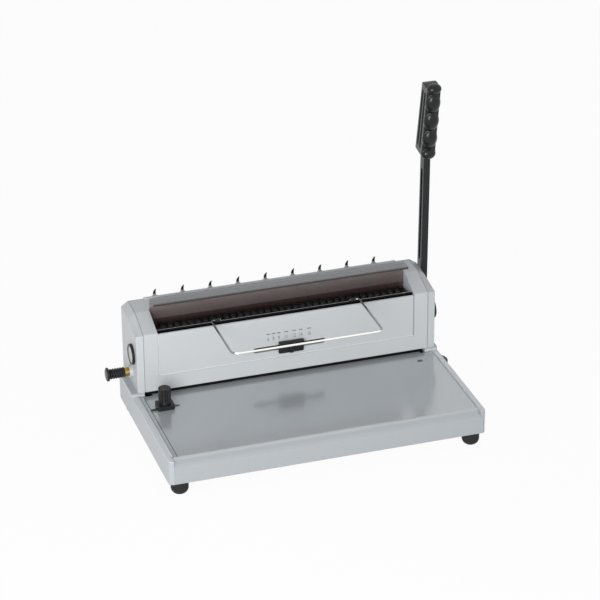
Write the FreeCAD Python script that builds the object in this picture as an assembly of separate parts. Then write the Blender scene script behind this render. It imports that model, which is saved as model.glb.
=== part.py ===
import FreeCAD, Part
import math
import os

# Desk-top wire binding machine: a sheet-metal base with a punch and a wire closer in one housing.
# Millimetres, +X to the operator's right, +Y to the rear, +Z up.

V = FreeCAD.Vector

# Base
base_width = 377.0
base_depth = 223.0
base_height = 27.0
base_front = -109.0
rail_thickness = 6.0
rail_rise = 2.0
rail_corner = 6.0
rail_edge = 1.2
sheet = 2.0
front_slope_depth = 10.0
front_slope_drop = 3.2
front_bend = 3.0
nose_bend = 8.0
foot_height = 16.0
foot_radius = 10.2
foot_inset = 14.5
foot_flat = 6.5
foot_crown = 6.5
ledge_width = 9.5
ledge_depth = 9.0
running_gap = 0.3

# Punching line
wire_pitch = 25.4 / 3
hole_count = 34
hole_size = 4.0
hole_clearance = 0.15
sheet_depth = 206.0
throat = 5.5
die_thickness = 7.0
die_depth = 26.0
stripper_thickness = 5.0
pin_recess = 0.8
beam_height = 12.0
beam_depth = 12.0
beam_lift = 11.5

# Housing
housing_shift = 2.0
housing_margin = 11.0
housing_setback = 161.0
housing_depth = 67.0
housing_rise = 106.0
crest_setback = 36.0
crest_rise = 12.8
rear_rise = 13.5
cap_width = 8.5
cap_front_drop = 0.6
cap_crest_drop = 7.0
cap_rear_drop = 5.5
tower_width = 26.0
wall = 2.5
edge_radius = 2.5
seam_chamfer = 0.7
band_height = 18.5
panel_recess = 1.0
panel_top_gap = 2.0
roll_radius = 2.5
plate_thickness = 4.0
plate_offset = 13.0

# Drive shaft, lever and gears
shaft_setback = 19.5
shaft_rise = 74.5
shaft_radius = 4.0
shaft_clearance = 0.05
bush_wall = 3.0
bush_flange = 2.0
gear_module = 1.0
gear_teeth = 12
pressure_angle = 20.0
pinion_addendum = 0.8
rack_addendum = 0.6
tooth_root_gap = 0.25
backlash = 0.25
rack_width = 4.5
rack_spacing = 1.5
rack_back = 6.45
bridge_height = 6.0
bridge_gap = 1.2
leg_depth = 10.0
lever_travel = 95.0
hub_radius = 12.2
hub_gap = 0.4
arm_thickness = 8.0
arm_width = 11.5
arm_offset = 3.2
crank_offset = 1.0
crank_thickness = 4.0
arm_elbow_back = 45.0
arm_elbow_rise = 14.0
arm_top_back = 38.5
arm_top_rise = 190.0
pocket_length = 115.0
pocket_end = 27.0
pocket_width = 5.5
pocket_depth = 1.5
grip_thickness = 17.0
grip_length = 89.5
grip_depth = 25.0
grip_tilt = 10.6
grip_bulge = 3.0
grip_bulges = 4
grip_pitch = 21.0
grip_start = 4.0
grip_head = 3.0
grip_taper = 3.0
recess_margin = 10.0
recess_radius = 1.6
recess_depth = 1.8
tang_length = 55.0
bolt_radius = 6.0
bolt_height = 2.0

# Wire closer
closer_depth = 13.5
closer_height = 8.0
comb_height = 4.0
comb_tooth = 4.6
jaw_gap = 0.6
jaw_end_gap = 1.0
channel_rise = 9.5
rack_thickness = 4.5
pad_width = 9.0
rod_radius = 3.0
rod_clearance = 0.05
rod_inset = 9.0
anvil_depth = 4.5
anvil_height = 6.5
anvil_setback = 7.0
anvil_drop = 0.5
anvil_round = 1.4
post_width = 12.0
post_inset = 18.0
post_height = 3.0

# Wire bail
bail_width = 181.0
bail_length = 88.0
bail_wire = 1.25
bail_corner = 9.0
bail_bend = 4.0
bail_travel = 90.0
clip_width = 6.0
clip_wall = 1.1

# Guard
guard_thickness = 2.3
guard_flange = 20.0
guard_wall = 32.0
guard_rise = 25.0
guard_back_gap = 1.2
guard_travel = 40.0
guard_pin_radius = 1.0
guard_pin_rise = 3.0
guard_end_gap = 1.0

# Top deck behind the guard
deck_gap = 2.0
deck_lip = 15.0

# Hooks
hook_count = 9
hook_step = 4
hook_height = 8.0
hook_width = 3.6
hook_thickness = 2.0
hook_shift = -6.8
hook_rail_height = 1.6

# Size adjuster
knob_setback = 25.0
knob_rise = 49.7
knob_radius = 6.4
knob_flange_radius = 8.2
knob_length = 22.0
knob_ribs = 6
screw_radius = 4.0
screw_grip = 12.0
bracket_thickness = 5.0
bracket_reach = 8.0
nut_reach = 7.0
collar_radius = 5.2
collar_length = 7.0
collar_shoulder = 2.0
boss_length = 4.0
boss_wall = 2.0
slot_length = 89.0
slot_height = 6.5
slot_center = 1.9
slot_rise = 63.5
pointer_width = 30.5
pointer_height = 10.6
pointer_plate = 2.4
pointer_travel = 30.0
pointer_stem = 16.0
pointer_drop = 2.0
pointer_shift = 1.4
pointer_rib = 5.0
pointer_rib_rise = 3.5

# Edge guide
guide_x = -157.5
guide_y = 20.0
guide_width = 20.0
guide_depth = 18.0
guide_height = 5.0
guide_pointer = 8.0
guide_knob_radius = 7.2
guide_knob_height = 20.0
guide_knob_flutes = 12
guide_knob_flute = 1.0
stud_radius = 2.5
guide_travel_in = 15.0
guide_travel_out = 4.0

# Margin dial
dial_radius = 15.0
dial_thickness = 5.0
dial_reach = 6.0
dial_y = 34.0
dial_notches = 24
dial_notch = 0.8
dial_pin_radius = 2.0
dial_collar = 0.8
dial_gap = 0.4

# Chip tray
tray_wall = 1.6
tray_gap = 0.4
tray_die_gap = 3.0
tray_end_gap = 4.0
tray_pull_depth = 2.5
tray_pull_margin = 2.0

# Derived positions shared by the pieces
housing_width = base_width - housing_margin
base_bottom = foot_height
table_top = base_bottom + base_height
rail_top = table_top + rail_rise
base_rear = base_front + base_depth
rail_outer = base_width / 2
rail_inner = rail_outer - rail_thickness
punch_y = base_front + sheet_depth
housing_bottom = table_top + throat
housing_front = base_front + housing_setback
housing_rear = housing_front + housing_depth
housing_top = base_bottom + housing_rise
crest_y = housing_front + crest_setback
crest_z = housing_top + crest_rise
rear_z = housing_top + rear_rise
outer_half = housing_width / 2
seam_half = outer_half - cap_width
inner_half = outer_half - tower_width
plate_inner = outer_half - plate_offset - plate_thickness
plate_outer = plate_inner + plate_thickness
cover_front = housing_rear - wall
shaft_y = housing_front + shaft_setback
shaft_z = base_bottom + shaft_rise
pitch_radius = gear_module * gear_teeth / 2
gear_pitch = math.pi * gear_module
stroke = math.radians(lever_travel) * pitch_radius
pin_bottom = housing_bottom + pin_recess
stripper_top = housing_bottom + stripper_thickness
beam_bottom = stripper_top + beam_lift
beam_top = beam_bottom + beam_height
rack_outer = plate_inner - running_gap
punch_rack_inner = rack_outer - rack_width
closer_rack_outer = punch_rack_inner - rack_spacing
closer_rack_inner = closer_rack_outer - rack_width
anvil_front = housing_front + anvil_setback
anvil_rear = anvil_front + anvil_depth
channel_floor = shaft_z + pitch_radius + channel_rise
closer_front = anvil_rear + stroke + jaw_gap
closer_rear = closer_front + closer_depth
closer_top = channel_floor + closer_height
anvil_top = housing_top - anvil_drop
anvil_bottom = anvil_top - anvil_height
panel_front = housing_front + panel_recess
panel_rear = panel_front + wall
band_top = housing_bottom + band_height
panel_top = housing_top - panel_top_gap
guard_y = closer_rear + guard_back_gap + guard_thickness / 2
guard_top = housing_top + guard_rise
guard_pin_z = guard_top - guard_wall + guard_pin_rise
deck_front = guard_y + guard_thickness / 2 + deck_gap
knob_y = housing_front + knob_setback
knob_z = base_bottom + knob_rise
cap_face = housing_shift - outer_half
knob_inner = cap_face - collar_length - collar_shoulder
knob_outer = knob_inner - knob_length
slot_z = base_bottom + slot_rise
bail_y = (anvil_front + anvil_rear) / 2
bail_z = anvil_top + bail_wire + running_gap
rod_z = channel_floor + closer_height / 2
floor_top = base_bottom + sheet


def box(x0, x1, y0, y1, z0, z1):
    """Block between two corners."""
    return Part.makeBox(x1 - x0, y1 - y0, z1 - z0, V(x0, y0, z0))


def hbox(x0, x1, y0, y1, z0, z1):
    """Block whose X is counted from the middle of the housing."""
    return box(x0 + housing_shift, x1 + housing_shift, y0, y1, z0, z1)


def rod_x(x0, x1, y, z, radius):
    """Round bar along X."""
    return Part.makeCylinder(radius, x1 - x0, V(x0, y, z), V(1, 0, 0))


def rod_y(y0, y1, x, z, radius):
    """Round bar along Y."""
    return Part.makeCylinder(radius, y1 - y0, V(x, y0, z), V(0, 1, 0))


def rod_z_bar(z0, z1, x, y, radius):
    """Round bar along Z."""
    return Part.makeCylinder(radius, z1 - z0, V(x, y, z0), V(0, 0, 1))


def wire_x(points, x):
    """Closed outline of (y, z) points in the plane at x."""
    corners = [V(x, y, z) for y, z in points]
    return Part.makePolygon(corners + corners[:1])


def prism_x(points, x0, x1):
    """Outline of (y, z) points run along X."""
    return Part.Face(wire_x(points, x0)).extrude(V(x1 - x0, 0, 0))


def fuse(first, *rest):
    """One solid out of pieces that meet."""
    return first.fuse(list(rest)).removeSplitter()


def both_sides(make):
    """A piece and its mirror image about the housing's middle."""
    piece = make()
    return [piece, piece.mirror(V(housing_shift, 0, 0), V(1, 0, 0))]


def round_edges(shape, radius, chosen):
    """Fillet the edges that the test picks."""
    return shape.makeFillet(radius, [edge for edge in shape.Edges if chosen(edge)])


def runs_along(edge, axis):
    """True for a straight edge along the axis (0, 1 or 2)."""
    if len(edge.Vertexes) != 2 or not isinstance(edge.Curve, Part.Line):
        return False
    step = edge.Vertexes[1].Point - edge.Vertexes[0].Point
    return abs(step[axis]) > 0.999 * step.Length


def middle(edge):
    """Centre of an edge's box."""
    return edge.BoundBox.Center


# Base


def side_rail(side):
    """Side cheek of the base with the raised seat for the housing."""
    x0, x1 = (-rail_outer, -rail_inner) if side < 0 else (rail_inner, rail_outer)
    cheek = box(x0, x1, base_front, base_rear, base_bottom, rail_top)
    outer_x = x0 if side < 0 else x1
    cheek = round_edges(cheek, rail_corner * 0.9,
                        lambda e: runs_along(e, 2) and abs(middle(e).x - outer_x) < 0.01)
    cheek = round_edges(cheek, rail_edge, lambda e: middle(e).z > rail_top - 0.01 and abs(middle(e).x - outer_x) < 4)
    seat = box(x0, x1, housing_front, base_rear - rail_corner, rail_top - 3, housing_bottom)
    ledge_x = (-rail_inner, -rail_inner + ledge_width) if side < 0 else (rail_inner - ledge_width, rail_inner)
    ledge = box(ledge_x[0], ledge_x[1], housing_front, base_rear - rail_corner,
                housing_bottom - ledge_depth, housing_bottom)
    return fuse(cheek, seat, ledge)


def dial_center():
    """Axis of the margin dial, set back so that its rim stands out of the right rail."""
    return rail_outer + dial_reach - dial_radius


dial_top = table_top - sheet - dial_gap
dial_bottom = dial_top - dial_thickness
tray_front = punch_y - die_depth / 2
tray_rear = punch_y + die_depth / 2
tray_bottom = floor_top + running_gap
tray_top = table_top - die_thickness - tray_die_gap


def right_rail():
    """Right cheek with the dial's slot and the chip tray's window."""
    rail = side_rail(1)
    slot = rod_z_bar(dial_bottom - dial_gap, dial_top + dial_gap, dial_center(), dial_y,
                     dial_radius + 1.5 * dial_gap)
    window = box(rail_inner - ledge_width - 1, rail_outer + 1, tray_front - tray_gap, tray_rear + tray_gap,
                 tray_bottom - running_gap, tray_top + tray_gap)
    return rail.cut([slot, window])


def table_plate():
    """Bent sheet: front face, sloped nose, flat table, with the edge guide's slot."""
    slope_y = base_front + front_bend
    flat_y = slope_y + front_slope_depth
    slope_z = table_top - front_slope_drop
    rear_y = punch_y - die_depth / 2
    top = [(base_front, base_bottom), (base_front, slope_z - front_bend), (slope_y, slope_z),
           (flat_y, table_top), (rear_y, table_top)]
    under = [(rear_y, table_top - sheet), (flat_y + 0.3, table_top - sheet),
             (slope_y + 0.8, slope_z - sheet), (base_front + sheet, slope_z - front_bend - 0.8),
             (base_front + sheet, base_bottom)]
    plate = prism_x(top + under, -rail_inner, rail_inner)
    plate = round_edges(plate, front_bend - 0.5, lambda e: runs_along(e, 0)
                        and abs(middle(e).y - base_front) < 0.01 and middle(e).z > table_top - 10)
    plate = round_edges(plate, nose_bend, lambda e: runs_along(e, 0) and abs(middle(e).y - flat_y) < 0.01
                        and middle(e).z > table_top - 0.01)
    corners = both_sides(lambda: hbox(plate_inner - 0.5, outer_half + rail_thickness, housing_front - 0.5,
                                      rear_y + 1, table_top - sheet - 1, table_top + 1))
    slot_x0 = guide_x - guide_travel_out
    slot_x1 = guide_x + guide_travel_in
    half = stud_radius + 0.2
    slot = fuse(box(slot_x0, slot_x1, guide_y - half, guide_y + half, table_top - sheet - 1, table_top + 1),
                rod_z_bar(table_top - sheet - 1, table_top + 1, slot_x0, guide_y, half),
                rod_z_bar(table_top - sheet - 1, table_top + 1, slot_x1, guide_y, half))
    return plate.cut(corners + [slot])


def base_pan():
    """Bottom pan of the base, turned up at the rear."""
    floor = box(-rail_inner, rail_inner, base_front + sheet, base_rear, base_bottom, floor_top)
    rear = box(-rail_inner, rail_inner, base_rear - sheet, base_rear, floor_top,
               housing_bottom - ledge_depth - 0.5)
    return fuse(floor, rear)


foot_places = [(sx * (rail_outer - foot_inset), y) for sx in (-1, 1)
               for y in (base_front + foot_radius + 1, base_rear - foot_radius - 6)]


def rubber_feet():
    """Domed rubber feet."""
    crown = Part.Arc(V(foot_flat, 0, 0), V(foot_radius * 0.89, 0, foot_crown * 0.4), V(foot_radius, 0, foot_crown))
    sides = [V(foot_radius, 0, foot_crown), V(foot_radius, 0, foot_height), V(0, 0, foot_height), V(0, 0, 0),
             V(foot_flat, 0, 0)]
    edges = [crown.toShape()] + [Part.LineSegment(p, q).toShape() for p, q in zip(sides, sides[1:])]
    foot = Part.Face(Part.Wire(edges)).revolve(V(0, 0, 0), V(0, 0, 1), 360)
    return [foot.translated(V(x, y, 0)) for x, y in foot_places]


# Frame inside the housing


def frame_plate(side):
    """Steel side plate that carries the shaft, die, stripper and guides."""
    def make():
        top = crest_z - wall - 6
        outline = [(housing_front + wall + 1, housing_bottom + 1), (housing_front + wall + 1, housing_top - 12),
                   (crest_y, top), (cover_front, top), (cover_front, housing_bottom),
                   (base_rear - sheet, housing_bottom), (base_rear - sheet, floor_top),
                   (punch_y - die_depth / 2 - 6, floor_top), (punch_y - die_depth / 2 - 6, housing_bottom + 1)]
        plate = prism_x(outline, plate_inner + housing_shift, plate_outer + housing_shift)
        bush_hole = rod_x(plate_inner + housing_shift - 1, plate_outer + housing_shift + 1, shaft_y, shaft_z,
                          shaft_radius + bush_wall)
        return plate.cut(bush_hole)
    left_right = both_sides(make)
    plate = left_right[0] if side > 0 else left_right[1]
    if side > 0:
        return plate.cut(hbox(plate_inner - 1, plate_outer + 1, tray_front - tray_gap, tray_rear + tray_gap,
                              floor_top - 1, tray_top + tray_gap))
    return plate.cut(rod_x(-outer_half, -inner_half, knob_y, knob_z, screw_radius + shaft_clearance))


hole_x = [housing_shift + (i - (hole_count - 1) / 2) * wire_pitch for i in range(hole_count)]


def square_holes(z0, z1):
    """Cutters for the row of square holes."""
    half = hole_size / 2 + hole_clearance
    return [box(x - half, x + half, punch_y - half, punch_y + half, z0, z1) for x in hole_x]


def die_plate():
    """Die under the punch line, level with the table."""
    plate = hbox(-plate_inner, plate_inner, punch_y - die_depth / 2, punch_y + die_depth / 2,
                 table_top - die_thickness, table_top)
    return plate.cut(square_holes(table_top - die_thickness - 1, table_top + 1))


def stripper_plate():
    """Upper jaw of the throat, with a raised lead-in lip at its front."""
    front = housing_front + wall + 0.5
    outline = [(front, housing_bottom + 1.5), (front + 6, housing_bottom), (punch_y + 9, housing_bottom),
               (punch_y + 9, stripper_top), (punch_y - 9, stripper_top), (punch_y - 12, housing_bottom + 2.5),
               (front, housing_bottom + 2.5)]
    plate = prism_x(outline, housing_shift - plate_inner, housing_shift + plate_inner)
    return plate.cut(square_holes(housing_bottom - 1, stripper_top + 1))


def shaft_bushes():
    """Flanged bushes pressed into the side plates."""
    def make():
        x0 = plate_inner + housing_shift
        x1 = plate_outer + housing_shift
        outer = shaft_radius + bush_wall
        sleeve = rod_x(x0, x1, shaft_y, shaft_z, outer)
        flange = rod_x(x1, x1 + bush_flange, shaft_y, shaft_z, outer + 2)
        return fuse(sleeve, flange).cut(rod_x(x0 - 1, x1 + bush_flange + 1, shaft_y, shaft_z,
                                              shaft_radius + shaft_clearance))
    return both_sides(make)


# Housing


def tower_outline(inset):
    """Side outline of a tower, drawn in by the wall."""
    low = housing_bottom if inset == 0 else housing_bottom - 1
    drop = inset * 1.05
    rear = cover_front if inset == 0 else cover_front + 1
    return [(housing_front + inset, low), (housing_front + inset, housing_top - drop),
            (crest_y, crest_z - drop), (rear, rear_z - drop), (rear, low)]


def housing_shell():
    """Two hollow towers joined by the low front band."""
    def tower():
        x0 = inner_half + housing_shift
        x1 = seam_half + housing_shift
        solid = prism_x(tower_outline(0), x0, x1)
        solid = round_edges(solid, edge_radius, lambda e: runs_along(e, 0)
                            and abs(middle(e).y - housing_front) < 0.01 and middle(e).z > housing_top - 1)
        seam = [edge for edge in solid.Edges if abs(middle(edge).x - x1) < 0.01 and middle(edge).y < cover_front - 1
                and middle(edge).z > housing_bottom + 1]
        solid = solid.makeChamfer(seam_chamfer, seam)
        cavity = prism_x(tower_outline(wall), x0 + wall, x1 + 1)
        doorway = hbox(inner_half - 1, inner_half + wall + 1, housing_front + wall, cover_front + 1,
                       housing_bottom - 1, channel_floor - 1)
        pin_hole = rod_x(x0 - 1, x0 + wall + 1, guard_y, guard_pin_z, guard_pin_radius + shaft_clearance)
        return solid.cut([cavity, doorway, pin_hole])
    band = hbox(-inner_half, inner_half, housing_front, housing_front + wall, housing_bottom, band_top)
    ledge = hbox(-inner_half, inner_half, housing_front, panel_rear, band_top - wall, band_top)
    return fuse(band, ledge, *both_sides(tower))


def side_cap(side):
    """Outer end cap whose top falls away to the outside."""
    def make():
        x0 = seam_half + housing_shift
        x1 = outer_half + housing_shift
        near = [(housing_front, housing_bottom), (housing_front, housing_top), (crest_y, crest_z),
                (housing_rear, rear_z), (housing_rear, housing_bottom)]
        far = [(housing_front + 0.8, housing_bottom), (housing_front + 0.8, housing_top - cap_front_drop),
               (crest_y, crest_z - cap_crest_drop), (housing_rear - 0.8, rear_z - cap_rear_drop),
               (housing_rear - 0.8, housing_bottom)]
        solid = Part.makeLoft([wire_x(near, x0), wire_x(far, x1)], True, True)
        hollow = box(x0 - 1, x1 - wall, housing_front + wall + 1, housing_rear - wall - 1,
                     housing_bottom - 1, housing_top - wall - 3)
        hub_hole = rod_x(x0 - 1, x1 + 1, shaft_y, shaft_z, hub_radius + hub_gap)
        return solid.cut([hollow, hub_hole])
    pair = both_sides(make)
    if side > 0:
        return pair[0]
    boss = rod_x(cap_face - boss_length, cap_face + wall, knob_y, knob_z, collar_radius + boss_wall)
    bore = rod_x(knob_inner, cap_face + cap_width + 1, knob_y, knob_z, collar_radius + hub_gap)
    return fuse(pair[1], boss).cut(bore)


def front_panel():
    """Recessed front panel with a rolled top edge and the size slot."""
    half = inner_half - 0.3
    plate = hbox(-half, half, panel_front, panel_rear, band_top, panel_top - roll_radius)
    roll = rod_x(housing_shift - half, housing_shift + half, panel_front + roll_radius,
                 panel_top - roll_radius, roll_radius)
    x0 = housing_shift + slot_center - (slot_length - slot_height) / 2
    x1 = housing_shift + slot_center + (slot_length - slot_height) / 2
    half_slot = slot_height / 2
    slot = fuse(box(x0, x1, panel_front - 1, panel_rear + 1, slot_z - half_slot, slot_z + half_slot),
                rod_y(panel_front - 1, panel_rear + 1, x0, slot_z, half_slot),
                rod_y(panel_front - 1, panel_rear + 1, x1, slot_z, half_slot))
    return fuse(plate, roll).cut(slot)


def rear_cover():
    """Flat rear sheet of the housing."""
    return hbox(-seam_half, seam_half, cover_front, housing_rear, housing_bottom, rear_z)


def hook_rail():
    """Strip along the rear top edge with a collar under each hook."""
    strip = hbox(-inner_half + 1, inner_half - 1, cover_front - 0.6, housing_rear, rear_z, rear_z + hook_rail_height)
    collars = [box(x - hook_width / 2 - 1.2, x + hook_width / 2 + 1.2, cover_front - 0.6, housing_rear,
                   rear_z + hook_rail_height, rear_z + hook_rail_height + 1.2) for x in hook_places]
    return fuse(strip, *collars)


hook_places = [housing_shift + hook_shift + (i - (hook_count - 1) / 2) * hook_step * wire_pitch
               for i in range(hook_count)]


def wire_hooks():
    """Fin-shaped hooks whose tips lean to the right."""
    z0 = rear_z + hook_rail_height + 1.2
    y0 = (cover_front - 0.6 + housing_rear - hook_thickness) / 2
    half = hook_width / 2
    tip = V(half * 0.9, 0, hook_height)
    back = Part.Arc(V(-half, 0, 0), V(-half * 0.75, 0, hook_height * 0.62), tip)
    belly = Part.Arc(tip, V(half * 0.55, 0, hook_height * 0.5), V(half, 0, 0))
    foot = Part.LineSegment(V(half, 0, 0), V(-half, 0, 0))
    face = Part.Face(Part.Wire([back.toShape(), belly.toShape(), foot.toShape()]))
    hook = face.extrude(V(0, hook_thickness, 0))
    return [hook.translated(V(x, y0, z0)) for x in hook_places]


def anvil_bar():
    """Polished fixed jaw of the wire closer, let into both towers."""
    bar = hbox(-inner_half, inner_half, anvil_front, anvil_rear, anvil_bottom, anvil_top)
    return round_edges(bar, anvil_round, lambda e: runs_along(e, 0) and middle(e).z > anvil_top - 0.01)


def bail_clips():
    """Saddle clips on the fixed jaw over the bail's turned-in ends."""
    clips = []
    for side in (-1, 1):
        x = housing_shift + side * (bail_width / 2 - bail_bend - running_gap - clip_width / 2)
        reach = bail_wire + clip_wall
        eye = rod_x(x - clip_width / 2, x + clip_width / 2, bail_y, bail_z, reach)
        skirt = box(x - clip_width / 2, x + clip_width / 2, bail_y - reach, bail_y + reach, anvil_top, bail_z)
        bore = rod_x(x - clip_width, x + clip_width, bail_y, bail_z, bail_wire + shaft_clearance)
        below = box(x - clip_width, x + clip_width, bail_y - 2 * reach, bail_y + 2 * reach,
                    anvil_bottom, anvil_top)
        clips.append(fuse(eye, skirt).cut([bore, below]))
    return clips


rod_places = [housing_shift + side * (inner_half - rod_inset) for side in (-1, 1)]


def guide_rods():
    """Round guides of the moving jaw, from the fixed jaw's back to the rear cover."""
    return [rod_y(anvil_rear, cover_front, x, rod_z, rod_radius) for x in rod_places]


def channel_deck():
    """Sheet that closes the channel behind the moving jaw."""
    front = closer_rear - 3
    plate = hbox(-inner_half, inner_half, front, cover_front, channel_floor - sheet - running_gap,
                 channel_floor - running_gap)
    turn_up = hbox(-inner_half, inner_half, cover_front - sheet, cover_front, channel_floor - running_gap,
                   channel_floor - running_gap + 6)
    rods = [rod_y(front, cover_front, x, rod_z, rod_radius + rod_clearance) for x in rod_places]
    return fuse(plate, turn_up).cut(rods)


def top_deck():
    """Sheet between the towers behind the guard, its front edge turned down."""
    rear = cover_front
    top = hbox(-inner_half, inner_half, deck_front, rear, rear_z - sheet, rear_z)
    lip = hbox(-inner_half, inner_half, deck_front, deck_front + sheet, rear_z - deck_lip, rear_z - sheet)
    deck = fuse(top, lip)
    return round_edges(deck, sheet * 0.6, lambda e: runs_along(e, 0) and middle(e).y < deck_front + 0.01
                       and middle(e).z > rear_z - 0.01)


def anvil_posts():
    """Brackets that tie the fixed jaw to the rear of the front panel."""
    def make():
        x = inner_half - post_inset
        return hbox(x - post_width, x, panel_rear, anvil_rear, anvil_bottom - post_height, anvil_bottom)
    return both_sides(make)


# Lever and shaft


arm_x0 = housing_shift + outer_half + arm_offset
arm_x1 = arm_x0 + arm_thickness
crank_x0 = housing_shift + outer_half + crank_offset
crank_x1 = crank_x0 + crank_thickness


def main_shaft():
    """Cross shaft through both side plates."""
    return rod_x(housing_shift - outer_half - 1.0, crank_x1, shaft_y, shaft_z, shaft_radius)


def pinion_outline():
    """Involute outline with stub teeth; one tooth points up and one forward."""
    tip = pitch_radius + pinion_addendum * gear_module
    root = pitch_radius - (rack_addendum + tooth_root_gap) * gear_module
    base = pitch_radius * math.cos(math.radians(pressure_angle))
    half = (gear_pitch / 2 - backlash) / (2 * pitch_radius)

    def involute(radius):
        angle = math.acos(min(1.0, base / radius))
        return math.tan(angle) - angle

    reach = [root, pitch_radius, tip]
    offset = [half + involute(pitch_radius) - involute(max(base, r)) for r in reach]
    points = []
    for tooth in range(gear_teeth):
        mid = math.pi / 2 + tooth * 2 * math.pi / gear_teeth
        flank = [(r, mid - a) for r, a in zip(reach, offset)]
        flank += [(r, mid + a) for r, a in zip(reversed(reach), reversed(offset))]
        points += [(shaft_y + r * math.cos(a), shaft_z + r * math.sin(a)) for r, a in flank]
    return points


pinion_inner = closer_rack_inner - 0.5


def drive_pinions():
    """Pinions that work the punch racks in front and the closer racks above."""
    def make():
        blank = prism_x(pinion_outline(), pinion_inner + housing_shift, rack_outer + housing_shift)
        return blank.cut(rod_x(pinion_inner, rack_outer + housing_shift + 1, shaft_y, shaft_z, shaft_radius))
    return both_sides(make)


def lever_hub():
    """Round boss of the lever where it meets the housing."""
    hub = rod_x(housing_shift + seam_half + 2, crank_x0, shaft_y, shaft_z, hub_radius)
    return hub.cut(rod_x(0, crank_x1 + 1, shaft_y, shaft_z, shaft_radius))


def shaft_end_cap():
    """Cup over the left end of the shaft."""
    x0 = housing_shift - outer_half - 3.0
    cup = rod_x(x0, x0 + 9, shaft_y, shaft_z, hub_radius)
    dish = rod_x(x0 - 1, x0 + 1.0, shaft_y, shaft_z, hub_radius - 2.2)
    bore = rod_x(housing_shift - outer_half - 1.0, 0, shaft_y, shaft_z, shaft_radius)
    return cup.cut([dish, bore])


elbow_y = shaft_y + arm_elbow_back
elbow_z = shaft_z + arm_elbow_rise
arm_top_y = shaft_y + arm_top_back
arm_top_z = shaft_z + arm_top_rise


def strip(y0, z0, y1, z1, r0, r1, x0, x1):
    """Flat bar between two round ends, its sides tangent to both."""
    length = math.hypot(y1 - y0, z1 - z0)
    along = math.atan2(z1 - z0, y1 - y0)
    lean = math.acos((r0 - r1) / length)
    left = along + lean
    right = along - lean
    outline = [(y0 + r0 * math.cos(left), z0 + r0 * math.sin(left)),
               (y1 + r1 * math.cos(left), z1 + r1 * math.sin(left)),
               (y1 + r1 * math.cos(right), z1 + r1 * math.sin(right)),
               (y0 + r0 * math.cos(right), z0 + r0 * math.sin(right))]
    return fuse(prism_x(outline, x0, x1), rod_x(x0, x1, y0, z0, r0), rod_x(x0, x1, y1, z1, r1))


tilt = math.radians(grip_tilt)


def along_grip(distance, across):
    """Point of the tilted grip: distance up from its lower end, across to the rear."""
    return (arm_top_y - distance * math.sin(tilt) + across * math.cos(tilt),
            arm_top_z + distance * math.cos(tilt) + across * math.sin(tilt))


def tang(gap):
    """Flat end of the arm inside the grip, widened by the gap."""
    half = arm_width / 2 - 2 + gap
    outline = [along_grip(0, -half), along_grip(tang_length + gap, -half),
               along_grip(tang_length + gap, half), along_grip(0, half)]
    return prism_x(outline, arm_x0 + 1 - gap, arm_x1 - 1 + gap)


def lever_arm():
    """Cranked arm: eye on the shaft, elbow, long bar with a pocket, tang."""
    eye = strip(shaft_y, shaft_z, elbow_y, elbow_z, hub_radius, arm_width / 2 + 1, crank_x0, crank_x1)
    bar = strip(elbow_y, elbow_z, arm_top_y, arm_top_z, arm_width / 2 + 1, arm_width / 2, arm_x0, arm_x1)
    length = math.hypot(arm_top_y - elbow_y, arm_top_z - elbow_z)
    step_y = (arm_top_y - elbow_y) / length
    step_z = (arm_top_z - elbow_z) / length
    low = length - pocket_length - pocket_end
    high = length - pocket_end
    pocket = strip(elbow_y + step_y * low, elbow_z + step_z * low, elbow_y + step_y * high,
                   elbow_z + step_z * high, pocket_width / 2, pocket_width / 2.01,
                   arm_x0 - 1, arm_x0 + pocket_depth)
    outer_pocket = pocket.translated(V(arm_thickness + 1 - pocket_depth, 0, 0))
    bore = rod_x(crank_x0 - 1, crank_x1 + 1, shaft_y, shaft_z, shaft_radius)
    return fuse(eye, bar, tang(0)).cut([pocket, outer_pocket, bore])


def lever_bolt():
    """Hexagon-socket bolt head that holds the arm on the shaft."""
    head = Part.makeCone(bolt_radius, bolt_radius - 0.6, bolt_height, V(crank_x1, shaft_y, shaft_z), V(1, 0, 0))
    key = bolt_radius / 2
    corners = [math.radians(angle) for angle in range(0, 360, 60)]
    socket = prism_x([(shaft_y + key * math.cos(a), shaft_z + key * math.sin(a)) for a in corners],
                     crank_x1 + bolt_height / 2, crank_x1 + bolt_height + 1)
    return head.cut(socket)


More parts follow.
